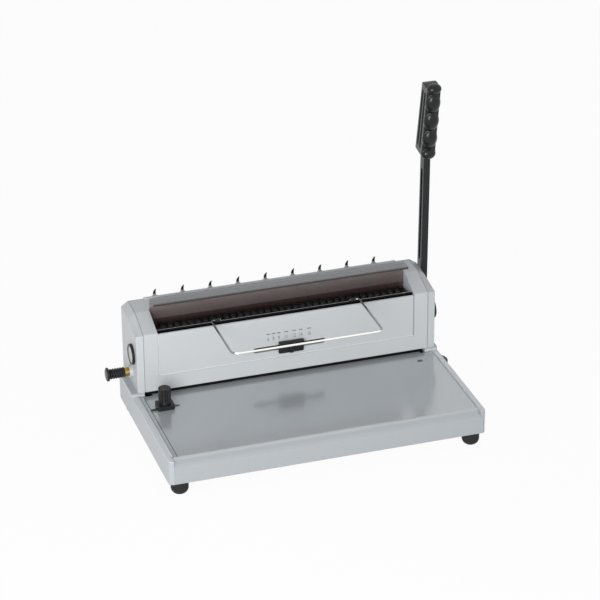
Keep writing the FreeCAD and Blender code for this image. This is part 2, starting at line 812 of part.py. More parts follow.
def lever_grip():
    """Moulded grip with finger bulges at the front and side recesses, tapering to its head."""
    x0 = (arm_x0 + arm_x1 - grip_thickness) / 2
    half = grip_depth / 2

    def place(distance, across):
        return V(x0, *along_grip(distance, across))

    edges = []
    low = -grip_start
    for i in range(grip_bulges):
        high = low + grip_pitch
        edges.append(Part.Arc(place(low, -half), place((low + high) / 2, -half - grip_bulge),
                              place(high, -half)).toShape())
        low = high
    top_front = place(grip_length - 3, grip_head - half - 1)
    edges.append(Part.Arc(place(low, -half), place((low + grip_length) / 2, -half - 1.5), top_front).toShape())
    top_rear = place(grip_length - 1, half - grip_taper)
    edges.append(Part.Arc(top_front, place(grip_length + 0.5, 0), top_rear).toShape())
    low_rear = place(-grip_start, half)
    edges.append(Part.LineSegment(top_rear, low_rear).toShape())
    edges.append(Part.LineSegment(low_rear, place(-grip_start, -half)).toShape())
    solid = Part.Face(Part.Wire(edges)).extrude(V(grip_thickness, 0, 0))
    recesses = []
    for across in (-half * 0.15, half * 0.45):
        lower = along_grip(recess_margin - grip_start, across)
        upper = along_grip(grip_length - recess_margin, across - grip_taper / 2)
        recesses.append(strip(*lower, *upper, recess_radius, recess_radius * 0.99, x0 - 1, x0 + recess_depth))
    mirrored = [r.mirror(V(x0 + grip_thickness / 2, 0, 0), V(1, 0, 0)) for r in recesses]
    neck = strip(elbow_y, elbow_z, arm_top_y, arm_top_z, arm_width / 2 + 1, arm_width / 2, arm_x0, arm_x1)
    return solid.cut(recesses + mirrored + [tang(0), neck])


# Punch


def rack_tooth(reach):
    """Half width of a rack tooth at a reach from the pitch line, counted to the root."""
    slope = math.tan(math.radians(pressure_angle))
    half = (gear_pitch / 2 - backlash) / 2
    return half + reach * slope


tooth_tip = rack_addendum * gear_module
tooth_root = (pinion_addendum + tooth_root_gap) * gear_module
tooth_steps = range(-2, 1 + math.ceil(stroke / gear_pitch) + 1)


def punch_racks():
    """Forked plates: toothed front leg, bridge over the shaft, rear leg down to the beam."""
    line = shaft_y - pitch_radius
    back = line - tooth_root - rack_back
    low = shaft_z - 3 * gear_pitch
    bridge = shaft_z + pitch_radius + bridge_gap + stroke
    rear_front = punch_y - leg_depth / 2
    rear_back = punch_y + leg_depth / 2

    def make():
        x0 = punch_rack_inner + housing_shift
        x1 = rack_outer + housing_shift
        leg = box(x0, x1, back, line - tooth_root, low, bridge + bridge_height)
        over = box(x0, x1, back, rear_back, bridge, bridge + bridge_height)
        rear_leg = box(x0, x1, rear_front, rear_back, beam_bottom, bridge + bridge_height)
        teeth = []
        for i in tooth_steps:
            z = shaft_z + (i + 0.5) * gear_pitch
            root = rack_tooth(tooth_root)
            tip = rack_tooth(-tooth_tip)
            teeth.append(prism_x([(line - tooth_root - 0.5, z - root), (line - tooth_root, z - root),
                                  (line + tooth_tip, z - tip), (line + tooth_tip, z + tip),
                                  (line - tooth_root, z + root), (line - tooth_root - 0.5, z + root)], x0, x1))
        return fuse(leg, over, rear_leg, *teeth)
    return both_sides(make)


def punch_beam():
    """Cross bar that drives the pins, screwed between the rear legs."""
    half = punch_rack_inner
    return hbox(-half, half, punch_y - beam_depth / 2, punch_y + beam_depth / 2, beam_bottom, beam_top)


def punch_pins():
    """Square punch pins under the beam, their ends ground to a shallow peak."""
    half = hole_size / 2
    peak = 0.6
    side = [(punch_y - half, beam_bottom), (punch_y - half, pin_bottom + peak), (punch_y, pin_bottom),
            (punch_y + half, pin_bottom + peak), (punch_y + half, beam_bottom)]
    return [prism_x(side, x - half, x + half) for x in hole_x]


# Wire closer


def closer_racks():
    """Racks over the pinions, each with a pad under the moving jaw."""
    line = shaft_z + pitch_radius
    y0 = panel_rear + stroke + 1
    y1 = shaft_y + (tooth_steps[-1] + 2) * gear_pitch

    def make():
        x0 = closer_rack_inner + housing_shift
        x1 = closer_rack_outer + housing_shift
        bar = box(x0 - pad_width, x1, y0, y1, line + tooth_root, line + tooth_root + rack_thickness)
        pad = box(x0 - pad_width, x0 - 2, closer_front + 2, closer_rear - 3.5, line + tooth_root + rack_thickness, channel_floor)
        teeth = []
        for i in tooth_steps[1:]:
            y = shaft_y + (i + 0.5) * gear_pitch
            root = rack_tooth(tooth_root)
            tip = rack_tooth(-tooth_tip)
            teeth.append(prism_x([(y - root, line + tooth_root + 0.5), (y - root, line + tooth_root),
                                  (y - tip, line - tooth_tip), (y + tip, line - tooth_tip),
                                  (y + root, line + tooth_root), (y + root, line + tooth_root + 0.5)], x0, x1))
        return fuse(bar, pad, *teeth)
    return both_sides(make)


closer_half = inner_half - jaw_end_gap


def closer_bar():
    """Moving jaw of the wire closer on its two guide rods."""
    bar = hbox(-closer_half, closer_half, closer_front, closer_rear, channel_floor, closer_top)
    return bar.cut([rod_y(closer_front - 1, closer_rear + 1, x, rod_z, rod_radius + rod_clearance)
                    for x in rod_places])


def closer_comb():
    """Toothed strip on the moving jaw; a tooth stands between each pair of loops."""
    base = hbox(-closer_half, closer_half, closer_front, closer_rear, closer_top, closer_top + 1.2)
    z0 = closer_top + 0.9
    z1 = closer_top + comb_height
    side = [(closer_front, z0), (closer_front + 1.5, z1), (closer_rear - 4, z1), (closer_rear - 1, z0)]
    first = hole_x[0] - wire_pitch / 2
    teeth = [prism_x(side, first + i * wire_pitch - comb_tooth / 2, first + i * wire_pitch + comb_tooth / 2)
             for i in range(hole_count + 1)]
    return fuse(base, *teeth)


# Size adjuster


def adjuster_knob():
    """Ring-ribbed knob with a flared outer end."""
    rib = (knob_length - 4) / knob_ribs
    valley = knob_radius - 1.1
    points = [V(knob_inner, 0, 0), V(knob_inner, 0, valley)]
    for i in range(knob_ribs):
        x = knob_inner - i * rib
        points += [V(x - rib / 2, 0, knob_radius), V(x - rib, 0, valley)]
    points += [V(knob_outer + 2.6, 0, knob_flange_radius), V(knob_outer + 0.8, 0, knob_flange_radius),
               V(knob_outer, 0, knob_flange_radius - 1.2), V(knob_outer, 0, 0)]
    face = Part.Face(Part.makePolygon(points + points[:1]))
    knob = face.revolve(V(0, 0, 0), V(1, 0, 0), 360).translated(V(0, knob_y, knob_z))
    return knob.cut(rod_x(knob_inner - screw_grip, knob_inner + 1, knob_y, knob_z, screw_radius))


def brass_collar():
    """Brass collar between the knob and the housing."""
    collar = rod_x(knob_inner, cap_face + wall, knob_y, knob_z, collar_radius)
    return collar.cut(rod_x(knob_inner - 1, 0, knob_y, knob_z, screw_radius))


pointer_x = housing_shift + slot_center + pointer_shift
bracket_x = pointer_x + pointer_travel + pointer_width / 2 + bracket_thickness


def adjuster_screw():
    """Screw spindle from the knob to its end bracket."""
    return rod_x(knob_inner - screw_grip, bracket_x + bracket_thickness, knob_y, knob_z, screw_radius)


def screw_bracket():
    """Bracket behind the front panel that carries the spindle's end."""
    block = box(bracket_x, bracket_x + bracket_thickness, panel_rear, knob_y + bracket_reach,
                knob_z - bracket_reach, knob_z + bracket_reach)
    return block.cut(rod_x(bracket_x - 1, bracket_x + bracket_thickness + 1, knob_y, knob_z, screw_radius + shaft_clearance))


def pointer_nut():
    """Nut on the spindle with an arm forward to the slot."""
    x0 = pointer_x - pointer_stem / 2
    x1 = pointer_x + pointer_stem / 2
    stem = slot_height / 2 - running_gap
    block = box(x0, x1, knob_y - nut_reach, knob_y + nut_reach, knob_z - nut_reach, knob_z + nut_reach)
    riser = box(x0, x1, panel_rear + 4, knob_y - 4, knob_z - 2, slot_z + stem)
    arm = box(x0, x1, panel_front - running_gap, panel_rear + 5, slot_z - stem, slot_z + stem)
    bore = rod_x(x0 - 1, x1 + 1, knob_y, knob_z, screw_radius + shaft_clearance)
    return fuse(block, riser, arm).cut(bore)


def size_pointer():
    """Slider plate in front of the slot, with a finger rib."""
    y1 = panel_front - running_gap
    y0 = y1 - pointer_plate
    z0 = slot_z - pointer_drop - pointer_height / 2
    z1 = slot_z - pointer_drop + pointer_height / 2
    plate = box(pointer_x - pointer_width / 2, pointer_x + pointer_width / 2, y0, y1, z0, z1)
    plate = round_edges(plate, 1.5, lambda e: runs_along(e, 1))
    rib = box(pointer_x - pointer_rib / 2, pointer_x + pointer_rib / 2, y0 - pointer_rib_rise, y0 + 0.5,
              z0 + 1, z1 - 1)
    rib = round_edges(rib, pointer_rib / 4, lambda e: runs_along(e, 2) and middle(e).y < y0 - 1)
    return fuse(plate, rib)


# Edge guide


def edge_guide_block():
    """Low slide on the table with a pointer to the left."""
    z0 = table_top + running_gap
    z1 = z0 + guide_height
    y0 = guide_y - guide_depth / 2
    block = box(guide_x - guide_width / 2, guide_x + guide_width / 2, y0, y0 + guide_depth, z0, z1)
    block = round_edges(block, 2.0, lambda e: runs_along(e, 2))
    left = guide_x - guide_width / 2
    tip = Part.makePolygon([V(left + 1, y0 + 3, z0), V(left - guide_pointer, y0 + 5, z0),
                            V(left + 1, y0 + 7, z0), V(left + 1, y0 + 3, z0)])
    pointer = Part.Face(tip).extrude(V(0, 0, 1.6))
    return fuse(block, pointer).cut(rod_z_bar(z0 - 1, z1 + 1, guide_x, guide_y, stud_radius))


def guide_stud():
    """Stud through the table's slot, with its clamp plate below and a stem up into the knob."""
    z0 = table_top - sheet - running_gap
    z1 = table_top + running_gap + guide_height + guide_knob_height - 6
    stem = rod_z_bar(z0, z1, guide_x, guide_y, stud_radius)
    plate = box(guide_x - 8, guide_x + 8, guide_y - 7, guide_y + 7, z0 - 3, z0)
    return fuse(stem, plate)


def fluted(x, y, z0, z1, radius, depth, count):
    """Round prism with straight-sided flutes round its rim."""
    step = 2 * math.pi / count
    rim = []
    for i in range(count):
        for share, reach in ((0.0, radius), (0.55, radius), (0.78, radius - depth)):
            angle = (i + share) * step
            rim.append(V(x + reach * math.cos(angle), y + reach * math.sin(angle), z0))
    return Part.Face(Part.makePolygon(rim + rim[:1])).extrude(V(0, 0, z1 - z0))


def guide_knob():
    """Fluted clamp knob of the edge guide on a plain round foot."""
    z0 = table_top + running_gap + guide_height + 0.2
    z1 = z0 + guide_knob_height
    foot = rod_z_bar(z0, z0 + 4, guide_x, guide_y, guide_knob_radius)
    body = fluted(guide_x, guide_y, z0 + 4, z1, guide_knob_radius, guide_knob_flute, guide_knob_flutes)
    bore = rod_z_bar(z0 - 1, z1 - 6 + 0.3, guide_x, guide_y, stud_radius + shaft_clearance)
    return fuse(foot, body).cut(bore)


# Bail, guard, tray and dial


def paper_bail():
    """Bent wire bail: front bar, two legs and turned-in ends."""
    x0 = housing_shift - bail_width / 2
    x1 = housing_shift + bail_width / 2
    y0 = bail_y - bail_length
    bail_stub = bail_bend + running_gap + clip_width + 1
    corners = [V(x0 + bail_stub, bail_y, bail_z), V(x0, bail_y, bail_z), V(x0, y0, bail_z),
               V(x1, y0, bail_z), V(x1, bail_y, bail_z), V(x1 - bail_stub, bail_y, bail_z)]
    radii = [bail_bend, bail_corner, bail_corner, bail_bend]
    pieces = []
    start = corners[0]
    for i, radius in enumerate(radii):
        corner = corners[i + 1]
        before = (corner - corners[i]).normalize()
        after = (corners[i + 2] - corner).normalize()
        enter = corner - before * radius
        section = Part.Face(Part.Wire(Part.makeCircle(bail_wire, enter, before)))
        pieces.append(section.extrude(start - enter))
        pieces.append(section.revolve(enter + after * radius, before.cross(after), 90))
        start = corner + after * radius
    last = Part.Face(Part.Wire(Part.makeCircle(bail_wire, start, after)))
    pieces.append(last.extrude(corners[-1] - start))
    return pieces[0].fuse(pieces[1:])


guard_half = inner_half - guard_end_gap


def smoked_guard():
    """Clear guard of angle section that hangs behind the channel."""
    y0 = guard_y - guard_thickness / 2
    y1 = guard_y + guard_thickness / 2
    z1 = guard_top + guard_thickness
    flange = hbox(-guard_half, guard_half, y1 - guard_flange, y1, guard_top, z1)
    hang = hbox(-guard_half, guard_half, y0, y1, guard_top - guard_wall, guard_top)
    angle = fuse(flange, hang)
    angle = round_edges(angle, 1.6, lambda e: runs_along(e, 0) and middle(e).y > y1 - 0.01 and middle(e).z > z1 - 0.01)
    pins = both_sides(lambda: rod_x(housing_shift + guard_half - 5, housing_shift + guard_half + 1,
                                    guard_y, guard_pin_z, guard_pin_radius))
    return angle.cut(pins)


def guard_pins():
    """Hinge pins in the ends of the guard."""
    return both_sides(lambda: rod_x(housing_shift + guard_half - 5, housing_shift + inner_half + wall - 0.3,
                                    guard_y, guard_pin_z, guard_pin_radius))


tray_x0 = housing_shift - plate_inner + tray_end_gap
tray_x1 = rail_outer


def chip_tray():
    """Long open tray under the die for the punched chips."""
    outer = box(tray_x0, tray_x1, tray_front, tray_rear, tray_bottom, tray_top)
    inside = box(tray_x0 + tray_wall, tray_x1 - tray_wall, tray_front + tray_wall, tray_rear - tray_wall,
                 tray_bottom + tray_wall, tray_top + 1)
    return outer.cut(inside)


def tray_pull():
    """End plate of the tray with a finger lip."""
    z0 = tray_bottom
    z1 = tray_top + tray_pull_margin
    x1 = tray_x1 + tray_pull_depth
    plate = box(tray_x1 + running_gap, x1, tray_front - tray_pull_margin, tray_rear + tray_pull_margin, z0, z1)
    back = box(tray_x1, tray_x1 + running_gap, tray_front, tray_rear, z0, tray_top)
    lip = box(x1 - 0.5, x1 + 2.2, punch_y - 9, punch_y + 9, z1 - 2.2, z1)
    return fuse(plate, back, lip)


def margin_dial():
    """Thumbwheel with a notched rim that stands out of the right rail."""
    x = dial_center()
    disc = fluted(x, dial_y, dial_bottom, dial_top, dial_radius, dial_notch, dial_notches)
    return disc.cut(rod_z_bar(dial_bottom - 1, dial_top + 1, x, dial_y, dial_pin_radius + shaft_clearance))


def dial_pin():
    """Post of the dial between the pan and the table."""
    x = dial_center()
    post = rod_z_bar(floor_top, table_top - sheet, x, dial_y, dial_pin_radius)
    collar = rod_z_bar(floor_top, dial_bottom - running_gap, x, dial_y, dial_pin_radius + dial_collar)
    return fuse(post, collar)


def as_list(made):
    """Several solids stay separate in one node."""
    return made if isinstance(made, list) else [made]


nodes = {
    "left_side_rail": side_rail(-1),
    "right_side_rail": right_rail(),
    "table_plate": table_plate(),
    "base_pan": base_pan(),
    "rubber_feet": rubber_feet(),
    "left_frame_plate": frame_plate(-1),
    "right_frame_plate": frame_plate(1),
    "die_plate": die_plate(),
    "stripper_plate": stripper_plate(),
    "shaft_bushes": shaft_bushes(),
    "housing_shell": housing_shell(),
    "left_side_cap": side_cap(-1),
    "right_side_cap": side_cap(1),
    "front_panel": front_panel(),
    "rear_cover": rear_cover(),
    "hook_rail": hook_rail(),
    "wire_hooks": wire_hooks(),
    "anvil_bar": anvil_bar(),
    "anvil_posts": anvil_posts(),
    "bail_clips": bail_clips(),
    "guide_rods": guide_rods(),
    "channel_deck": channel_deck(),
    "top_deck": top_deck(),
    "main_shaft": main_shaft(),
    "drive_pinions": drive_pinions(),
    "lever_hub": lever_hub(),
    "shaft_end_cap": shaft_end_cap(),
    "lever_arm": lever_arm(),
    "lever_bolt": lever_bolt(),
    "lever_grip": lever_grip(),
    "punch_racks": punch_racks(),
    "punch_beam": punch_beam(),
    "punch_pins": punch_pins(),
    "closer_racks": closer_racks(),
    "closer_bar": closer_bar(),
    "closer_comb": closer_comb(),
    "adjuster_knob": adjuster_knob(),
    "brass_collar": brass_collar(),
    "adjuster_screw": adjuster_screw(),
    "screw_bracket": screw_bracket(),
    "pointer_nut": pointer_nut(),
    "size_pointer": size_pointer(),
    "edge_guide_block": edge_guide_block(),
    "guide_stud": guide_stud(),
    "guide_knob": guide_knob(),
    "paper_bail": paper_bail(),
    "smoked_guard": smoked_guard(),
    "guard_pins": guard_pins(),
    "chip_tray": chip_tray(),
    "tray_pull": tray_pull(),
    "margin_dial": margin_dial(),
    "dial_pin": dial_pin(),
}

# The origin lies on the desk under the middle of the whole machine.
whole = Part.makeCompound([piece for made in nodes.values() for piece in as_list(made)])
extent = whole.optimalBoundingBox(False, False)
to_origin = V(-extent.Center.x, -extent.Center.y, -extent.ZMin)

os.makedirs("parts", exist_ok=True)
for name, made in nodes.items():
    shape = Part.makeCompound(as_list(made)) if isinstance(made, list) else made
    shape.translated(to_origin).exportStep("parts/" + name + ".step")
print("offset", [round(c, 4) for c in to_origin])
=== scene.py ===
import math

import bmesh
import bpy
from mathutils import Matrix, Vector


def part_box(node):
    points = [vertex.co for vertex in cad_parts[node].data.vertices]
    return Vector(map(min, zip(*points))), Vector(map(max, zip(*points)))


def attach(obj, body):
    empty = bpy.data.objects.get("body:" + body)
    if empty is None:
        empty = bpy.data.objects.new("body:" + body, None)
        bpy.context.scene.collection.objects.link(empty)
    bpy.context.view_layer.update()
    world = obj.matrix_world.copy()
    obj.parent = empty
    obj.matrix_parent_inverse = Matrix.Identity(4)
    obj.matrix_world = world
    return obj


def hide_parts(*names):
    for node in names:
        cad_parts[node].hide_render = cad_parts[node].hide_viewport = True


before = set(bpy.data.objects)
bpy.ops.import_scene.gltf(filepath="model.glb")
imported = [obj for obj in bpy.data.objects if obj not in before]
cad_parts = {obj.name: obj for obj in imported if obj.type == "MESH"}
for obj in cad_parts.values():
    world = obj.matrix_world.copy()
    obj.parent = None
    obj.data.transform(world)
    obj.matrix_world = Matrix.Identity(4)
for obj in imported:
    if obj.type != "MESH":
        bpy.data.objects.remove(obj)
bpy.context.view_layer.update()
MM = 0.001

# Corners of the CAD pieces that the added pieces and the colour bands are placed by.
rail_low, rail_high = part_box("left_side_rail")
right_low, right_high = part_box("right_side_rail")
panel_low, panel_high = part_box("front_panel")
slider_low, slider_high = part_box("size_pointer")
cover_low, cover_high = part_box("rear_cover")
disc_low, disc_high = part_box("shaft_end_cap")
guard_low, guard_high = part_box("smoked_guard")
shell_low, shell_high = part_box("housing_shell")
table_low, table_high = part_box("table_plate")
jaw_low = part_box("anvil_bar")[0]
bail_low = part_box("paper_bail")[0]
hook_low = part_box("wire_hooks")[0]
grip_low, grip_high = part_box("lever_grip")
base_mid_x = (rail_low.x + right_high.x) / 2
base_front_y = rail_low.y


class Value:
    """A shader value; arithmetic on it adds Math nodes."""

    def __init__(self, nodes, socket):
        self.nodes = nodes
        self.socket = socket

    def math(self, operation, first, second):
        return self.nodes.node("ShaderNodeMath", {"operation": operation}, {0: first, 1: second})

    def __add__(self, other):
        return self.math("ADD", self, other)

    def __radd__(self, other):
        return self.math("ADD", other, self)

    def __sub__(self, other):
        return self.math("SUBTRACT", self, other)

    def __rsub__(self, other):
        return self.math("SUBTRACT", other, self)

    def __mul__(self, other):
        return self.math("MULTIPLY", self, other)

    def __rmul__(self, other):
        return self.math("MULTIPLY", other, self)

    def __gt__(self, other):
        return self.math("GREATER_THAN", self, other)

    def __lt__(self, other):
        return self.math("LESS_THAN", self, other)


class Nodes:
    """An emptied node tree and the one method that adds nodes to it."""

    def __init__(self, tree):
        self.tree = tree
        self.tree.nodes.clear()

    def node(self, kind, settings, inputs, out=0):
        made = self.tree.nodes.new(kind)
        for key, value in settings.items():
            setattr(made, key, value)
        for key, value in inputs.items():
            self.feed(made.inputs[key], value)
        return Value(self, made.outputs[out])

    def feed(self, socket, value):
        if isinstance(value, Value):
            self.tree.links.new(value.socket, socket)
        else:
            socket.default_value = value

    def seen_rays(self):
        """One or more for a ray from the camera, off a gloss or through a clear sheet."""
        camera, glossy, through = [
            self.node("ShaderNodeLightPath", {}, {}, out)
            for out in ("Is Camera Ray", "Is Glossy Ray", "Is Transmission Ray")]
        return camera + glossy + through


class Finish(Nodes):
    """One material: a principled shader and the nodes that feed it."""

    def __init__(self, name):
        self.material = bpy.data.materials.new(name)
        self.material.use_nodes = True
        super().__init__(self.material.node_tree)
        self.shader = self.tree.nodes.new("ShaderNodeBsdfPrincipled")
        self.output = self.tree.nodes.new("ShaderNodeOutputMaterial")
        self.tree.links.new(self.shader.outputs[0], self.output.inputs["Surface"])

    def set(self, **inputs):
        for key, value in inputs.items():
            self.feed(self.shader.inputs[key.replace("_", " ")], value)

    def noise(self, scale, detail, stretch=(1, 1, 1)):
        place = self.node("ShaderNodeTexCoord", {}, {}, "Object")
        stretched = self.node("ShaderNodeMapping", {}, {"Vector": place, "Scale": stretch})
        return self.node("ShaderNodeTexNoise", {}, {"Vector": stretched, "Scale": scale, "Detail": detail})

    def blend(self, share, first, second):
        return self.node("ShaderNodeMix", {"data_type": "RGBA"}, {0: share, 6: first, 7: second}, 2)

    def along(self, axis):
        """Place along one axis of the machine, in metres."""
        place = self.node("ShaderNodeTexCoord", {}, {}, "Object")
        return self.node("ShaderNodeSeparateXYZ", {}, {0: place}, axis)

    def below(self, tone, bands):
        """Tone with bands laid over it; each is (axis, limit, colour), coloured below the limit."""
        for axis, limit, colour in bands:
            tone = self.blend(self.along(axis) < limit, tone, colour)
        return tone

    def bump(self, height, distance, edge=0.0):
        """Fine relief, on edges eased to a small radius."""
        inputs = {"Strength": 0.5, "Distance": distance, "Height": height}
        if edge:
            inputs["Normal"] = self.node("ShaderNodeBevel", {"samples": 6}, {"Radius": edge})
        return self.node("ShaderNodeBump", {}, inputs)


def rgb(red, green, blue):
    return (red, green, blue, 1.0)


def satin_paint(name, light, shade, roughness, coat, silver=0.0, lines=()):
    """Fine powder coat with a faint cloud in its tone; lines are (axis, low, high, colour) bands."""
    finish = Finish(name)
    cloud = finish.noise(scale=14.0, detail=3.0)
    speck = finish.noise(scale=2600.0, detail=1.0)
    tone = finish.blend(cloud * 0.6 + speck * 0.4, shade, light)
    for axis, low, high, colour in lines:
        along = finish.along(axis)
        tone = finish.blend((along > low) * (along < high), tone, colour)
    finish.set(Base_Color=tone, Roughness=roughness + 0.12 * speck, Metallic=silver, Coat_Weight=coat,
               Coat_Roughness=0.12, Normal=finish.bump(speck, distance=0.04 * MM, edge=0.5 * MM))
    return finish.material


def moulded_plastic(name, light, shade, roughness, gloss=0.3, bands=()):
    """Dark plastic, enamel, rubber or ink with a fine grain."""
    finish = Finish(name)
    grain = finish.noise(scale=1500.0, detail=2.0)
    patch = finish.noise(scale=40.0, detail=2.0)
    tone = finish.below(finish.blend(patch, shade, light), bands)
    finish.set(Base_Color=tone, Roughness=roughness + 0.2 * grain, Specular_IOR_Level=gloss,
               Normal=finish.bump(grain, distance=0.08 * MM, edge=0.6 * MM))
    return finish.material


def drawn_metal(name, light, shade, roughness, stretch, bands=()):
    """Metal with fine lines along its length."""
    finish = Finish(name)
    lines = finish.noise(scale=900.0, detail=3.0, stretch=stretch)
    tone = finish.below(finish.blend(lines, shade, light), bands)
    finish.set(Base_Color=tone, Metallic=1.0, Roughness=roughness + 0.14 * lines,
               Normal=finish.bump(lines, distance=0.02 * MM))
    return finish.material


def smoked_sheet():
    """Brown see-through acrylic, greyer on its top flange and dark along the cut front edge; its wall is
    painted lighter towards its head, a painted reflection.
    """
    flange_depth = 2.6 * MM
    cut_depth = 2.4 * MM
    wall_foot = rgb(0.030, 0.013, 0.014)
    wall_head = rgb(0.270, 0.185, 0.170)
    flange_grey = rgb(0.22, 0.235, 0.25)
    cut_black = rgb(0.006, 0.005, 0.005)
    finish = Finish("smoked_sheet")
    haze = finish.noise(scale=30.0, detail=4.0, stretch=(0.4, 1, 1))
    flange = finish.along("Z") > guard_high.z - flange_depth
    cut = finish.along("Y") < guard_low.y + cut_depth
    # Painted reflection: the wall's tone runs from dark at its foot to light at its head.
    rise = (finish.along("Z") - guard_low.z) * (1.0 / (guard_high.z - guard_low.z))
    wall = finish.blend(rise * 0.8 + haze * 0.2, wall_foot, wall_head)
    tone = finish.blend(flange, wall, flange_grey)
    finish.set(Base_Color=finish.blend(cut, tone, cut_black), Roughness=0.06 + 0.1 * haze,
               Alpha=0.42 + 0.06 * haze + 0.18 * flange + 0.30 * cut, Coat_Weight=0.5, Coat_Roughness=0.05)
    return finish.material


# Tones shared by several finishes, painted light and shade laid over some of them, and the half width of a
# seam's painted shadow.
housing_tones = (rgb(0.60, 0.62, 0.63), rgb(0.54, 0.56, 0.57))
base_tones = (rgb(0.48, 0.51, 0.53), rgb(0.43, 0.46, 0.48))
table_tones = (rgb(0.50, 0.525, 0.54), rgb(0.46, 0.485, 0.50))
chrome_tones = (rgb(0.86, 0.87, 0.88), rgb(0.76, 0.77, 0.78))
# Painted shadow in the seams at the tower ends and at the front panel's right edge.
seam_painted_shadow = rgb(0.38, 0.395, 0.41)
# Painted highlight along the front panel's left and bottom edges.
panel_edge_painted_highlight = rgb(0.74, 0.76, 0.77)
# Painted light on the up-facing tops of the rails and the table ledge.
rail_top_painted_light = rgb(0.66, 0.685, 0.70)
# Painted shade on the table plate's bent-down nose and front face.
nose_painted_shade = rgb(0.42, 0.45, 0.47)
foot_grey = rgb(0.36, 0.37, 0.37)
# Painted shade: near black on the anvil jaw's front face.
jaw_front_painted_shade = rgb(0.010, 0.010, 0.011)
# Painted highlight on the bail's front bar; the bail's darker tones are painted dark reflection on its legs.
bail_front_painted_highlight = rgb(0.95, 0.95, 0.90)
seam = 0.9 * MM

# Depths of the bands, and the stretch of lines drawn along X or round it.
# Height of the band of painted light on the rail and ledge tops.
rail_top_light_band = (table_high.z + 1.4 * MM, table_high.z + 3.0 * MM)
nose_depth = 9.0 * MM
hook_foot_height = 2.4 * MM
jaw_front_depth = 2.4 * MM
bail_front_depth = 2.6 * MM
lengthways = (0.05, 1, 1)
round_about = (1, 0.1, 0.1)

housing_paint = satin_paint("housing_paint", *housing_tones, roughness=0.36, coat=0.15)
# Tower ends: painted shadow lines in the seams with the side caps.
tower_paint = satin_paint("tower_paint", *housing_tones, roughness=0.36, coat=0.15, lines=(
    ("X", shell_low.x - seam, shell_low.x + seam, seam_painted_shadow),
    ("X", shell_high.x - seam, shell_high.x + seam, seam_painted_shadow)))
# Front panel: painted shadow in its right seam, painted highlights along its left and bottom edges.
panel_paint = satin_paint("panel_paint", *housing_tones, roughness=0.36, coat=0.15, lines=(
    ("X", panel_high.x - seam, panel_high.x + seam, seam_painted_shadow),
    ("X", panel_low.x - seam, panel_low.x + seam, panel_edge_painted_highlight),
    ("Z", panel_low.z - seam, panel_low.z + seam, panel_edge_painted_highlight)))
base_paint = satin_paint("base_paint", *base_tones, roughness=0.32, coat=0.2)
# Rails and ledge: their tops painted lighter, painted light where they face up.
rail_paint = satin_paint("rail_paint", *base_tones, roughness=0.32, coat=0.2, lines=(
    ("Z", *rail_top_light_band, rail_top_painted_light),))
# Table plate: its nose and front face painted darker, painted shade; top and front are one sheet in one paint.
table_paint = satin_paint("table_paint", *table_tones, roughness=0.12, coat=0.6, silver=0.25, lines=(
    ("Y", table_low.y - seam, table_low.y + nose_depth, nose_painted_shade),))
black_plastic = moulded_plastic("black_plastic", rgb(0.014, 0.015, 0.016), rgb(0.008, 0.009, 0.010), 0.26)
black_enamel = moulded_plastic("black_enamel", rgb(0.012, 0.013, 0.014), rgb(0.008, 0.009, 0.010), 0.22)
grip_black = moulded_plastic("grip_black", rgb(0.007, 0.008, 0.008), rgb(0.004, 0.005, 0.005), 0.10, 0.35)
hook_black = moulded_plastic("hook_black", rgb(0.008, 0.008, 0.009), rgb(0.005, 0.005, 0.006), 0.26, bands=(
    ("Z", hook_low.z + hook_foot_height, foot_grey),))
comb_black = moulded_plastic("comb_black", rgb(0.008, 0.008, 0.009), rgb(0.004, 0.004, 0.005), 0.16)
line_black = moulded_plastic("line_black", rgb(0.12, 0.125, 0.13), rgb(0.09, 0.095, 0.10), 0.40)
foot_rubber = moulded_plastic("foot_rubber", rgb(0.020, 0.020, 0.021), rgb(0.012, 0.012, 0.013), 0.60)
scale_ink = moulded_plastic("scale_ink", rgb(0.20, 0.21, 0.21), rgb(0.15, 0.16, 0.16), 0.5)
plain_steel = drawn_metal("plain_steel", rgb(0.56, 0.56, 0.56), rgb(0.44, 0.44, 0.45), 0.30, lengthways)
bright_chrome = drawn_metal("bright_chrome", *chrome_tones, 0.10, lengthways)
# Anvil jaw: its front face painted near black, painted shade on polished steel.
jaw_polish = drawn_metal("jaw_polish", *chrome_tones, 0.10, lengthways, bands=(
    ("Y", jaw_low.y + jaw_front_depth, jaw_front_painted_shade),))
# Paper bail: darker tones, painted dark reflection on the legs; its front bar painted bright, a painted
# highlight.
bail_wire = drawn_metal("bail_wire", rgb(0.36, 0.36, 0.35), rgb(0.28, 0.28, 0.27), 0.08, lengthways, bands=(
    ("Y", bail_low.y + bail_front_depth, bail_front_painted_highlight),))
collar_brass = drawn_metal("collar_brass", rgb(0.56, 0.37, 0.11), rgb(0.44, 0.28, 0.08), 0.24, round_about)
smoked_acrylic = smoked_sheet()

